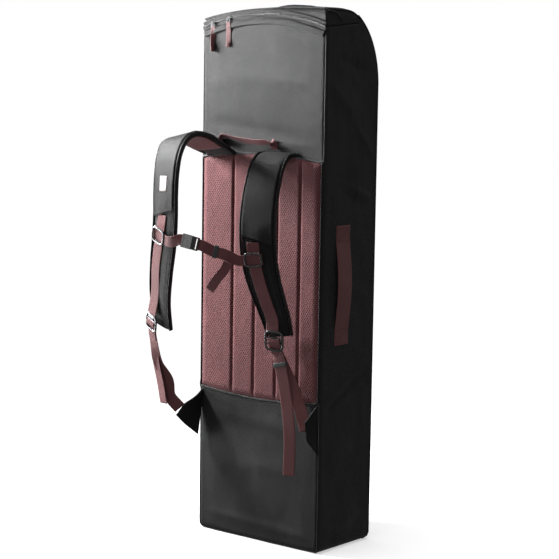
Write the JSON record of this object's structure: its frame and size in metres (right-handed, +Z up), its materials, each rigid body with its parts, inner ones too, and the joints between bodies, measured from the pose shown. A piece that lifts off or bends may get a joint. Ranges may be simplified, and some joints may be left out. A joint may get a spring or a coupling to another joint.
{
  "type": "snowboard bag",
  "caption": "Tall padded bag for a snowboard, with a zipped crown, mesh back pad and a folding backpack harness with sternum strap.",
  "frame": {"origin": "centre of the bag's base, where it stands", "axes": "+Z up, -Y out of the harness side, +X along the bag's width towards the haul handle"},
  "size_m": [0.5217, 0.487, 1.5],
  "materials": {
    "black_fabric": "fine plain weave",
    "maroon_mesh": "open spacer mesh",
    "foam": "closed-cell foam, inside",
    "stiff_sheet": "sheet, inside",
    "black_binding": "folded tape",
    "zip_tape": "woven tape",
    "zip_teeth": "coil",
    "slider_metal": "gunmetal",
    "maroon_webbing": "ribbed webbing",
    "inner_webbing": "webbing, inside",
    "buckle_grey": "gunmetal, glossy",
    "buckle_black": "moulded",
    "buckle_light": "light grey, glossy",
    "grey_elastic": "woven elastic",
    "patch": "plain woven patch"
  },
  "bodies": {
    "bag": {"front_upper_panel": "black_fabric", "front_lower_panel": "black_fabric", "left_gusset": "black_fabric", "right_gusset": "black_fabric", "rear_panel": "black_fabric", "rear_shoulder_panel": "black_fabric", "base_panel": "black_fabric", "base_board": "stiff_sheet", "back_pad_cover": "maroon_mesh", "back_pad_foam": "foam", "frame_sheet": "stiff_sheet", "corner_piping_left": "black_binding", "corner_piping_right": "black_binding", "zip_tape_lower": "zip_tape", "zip_teeth_lower": "zip_teeth", "side_zip_tape": "zip_tape", "side_zip_teeth": "zip_teeth", "side_zip_end_tab": "black_binding", "haul_handle_right": "maroon_webbing", "inner_strap_lower": "inner_webbing", "inner_strap_higher": "inner_webbing", "wing_left": "black_fabric", "wing_right": "black_fabric"},
    "crown_lid": {"crown_panel": "black_fabric", "zip_tape_upper": "zip_tape", "zip_teeth_upper": "zip_teeth"},
    "slider_1": {"zip_slider_1": "slider_metal"},
    "slider_2": {"zip_slider_2": "slider_metal"},
    "puller_1": {"puller_bail_1": "slider_metal", "pull_tab_1": "maroon_webbing"},
    "puller_2": {"puller_bail_2": "slider_metal", "pull_tab_2": "maroon_webbing"},
    "grab_loop": {"grab_handle": "maroon_webbing"},
    "harness": {"shoulder_pad_left": "black_fabric", "shoulder_pad_right": "black_fabric", "pad_lining_left": "maroon_mesh", "pad_lining_right": "maroon_mesh", "pad_binding_left": "black_binding", "pad_binding_right": "black_binding", "shoulder_webbing_left": "maroon_webbing", "shoulder_webbing_right": "maroon_webbing", "webbing_cover_left": "black_fabric", "webbing_cover_right": "black_fabric", "plain_patch": "patch", "lower_webbing_left": "maroon_webbing", "lower_webbing_right": "maroon_webbing"},
    "lock_left": {"ladder_lock_left": "buckle_grey"},
    "lock_right": {"ladder_lock_right": "buckle_grey"},
    "tail_keeper": {"strap_keeper_right": "grey_elastic"},
    "sternum": {"sternum_slider_left": "buckle_grey", "sternum_slider_right": "buckle_grey", "sternum_webbing_left": "maroon_webbing", "sternum_webbing_right": "maroon_webbing", "sternum_tail": "maroon_webbing", "buckle_socket": "buckle_light"},
    "chest_keeper": {"sternum_keeper": "grey_elastic"},
    "plug": {"buckle_plug": "buckle_black"},
    "prong_up": {"buckle_prong_upper": "buckle_black"},
    "prong_down": {"buckle_prong_lower": "buckle_black"}
  },
  "joints": [
    {"name": "crown_lift", "type": "hinge", "parent": "bag", "child": "crown_lid", "pos_m": [0, 0.024, 1.4885], "axis": [-1, 0, 0], "range_deg": [0, 110]},
    {"name": "slider_1_run", "type": "hinge", "parent": "bag", "child": "slider_1", "pos_m": [0, -0.1246, 0.788], "axis": [0, 1, 0], "range_deg": [-1.6, 2.6]},
    {"name": "slider_2_run", "type": "hinge", "parent": "bag", "child": "slider_2", "pos_m": [0, -0.1246, 0.788], "axis": [0, 1, 0], "range_deg": [-2.6, 26.5]},
    {"name": "puller_1_swing", "type": "hinge", "parent": "slider_1", "child": "puller_1", "pos_m": [-0.181, -0.1246, 1.45384], "axis": [-1, 0, 0], "range_deg": [0, 150]},
    {"name": "puller_2_swing", "type": "hinge", "parent": "slider_2", "child": "puller_2", "pos_m": [-0.124, -0.1246, 1.46677], "axis": [-1, 0, 0], "range_deg": [0, 150]},
    {"name": "grab_fold", "type": "hinge", "parent": "bag", "child": "grab_loop", "pos_m": [-0.045, -0.1213, 1.105], "axis": [1, 0, 0], "range_deg": [0, 8]},
    {"name": "harness_lift", "type": "hinge", "parent": "bag", "child": "harness", "pos_m": [0, -0.1206, 1.0985], "axis": [-1, 0, 0], "range_deg": [0, 13], "deforming": ["lower_webbing_left", "lower_webbing_right"]},
    {"name": "lock_left_tilt", "type": "hinge", "parent": "harness", "child": "lock_left", "pos_m": [-0.24508, -0.29848, 0.63961], "axis": [-0.9219, 0.1727, 0.3468], "range_deg": [0, 40]},
    {"name": "lock_right_tilt", "type": "hinge", "parent": "harness", "child": "lock_right", "pos_m": [0.0907, -0.17161, 0.61103], "axis": [-0.9619, -0.233, -0.1428], "range_deg": [0, 40]},
    {"name": "tail_keeper_slide", "type": "slide", "parent": "harness", "child": "tail_keeper", "axis": [0.2289, 0.0286, -0.973], "range_m": [-0.004, 0.05]},
    {"name": "sternum_height", "type": "slide", "parent": "harness", "child": "sternum", "axis": [0, -0.0599, 0.9982], "range_m": [-0.012, 0.012]},
    {"name": "chest_keeper_slide", "type": "slide", "parent": "sternum", "child": "chest_keeper", "axis": [0.6815, 0.6815, -0.2667], "range_m": [-0.006, 0.008]},
    {"name": "buckle_release", "type": "slide", "parent": "sternum", "child": "plug", "axis": [0.8958, 0.3859, -0.2205], "range_m": [0, 0.026], "deforming": ["sternum_webbing_right"]},
    {"name": "prong_up_squeeze", "type": "hinge", "parent": "plug", "child": "prong_up", "pos_m": [-0.04977, -0.34482, 0.87317], "axis": [-0.3956, 0.9184, 0], "range_deg": [0, 3.2], "stiffness_Nm_per_rad": 0.05},
    {"name": "prong_down_squeeze", "type": "hinge", "parent": "plug", "child": "prong_down", "pos_m": [-0.05523, -0.34718, 0.84683], "axis": [0.3956, -0.9184, 0], "range_deg": [0, 3.2], "stiffness_Nm_per_rad": 0.05}
  ]
}
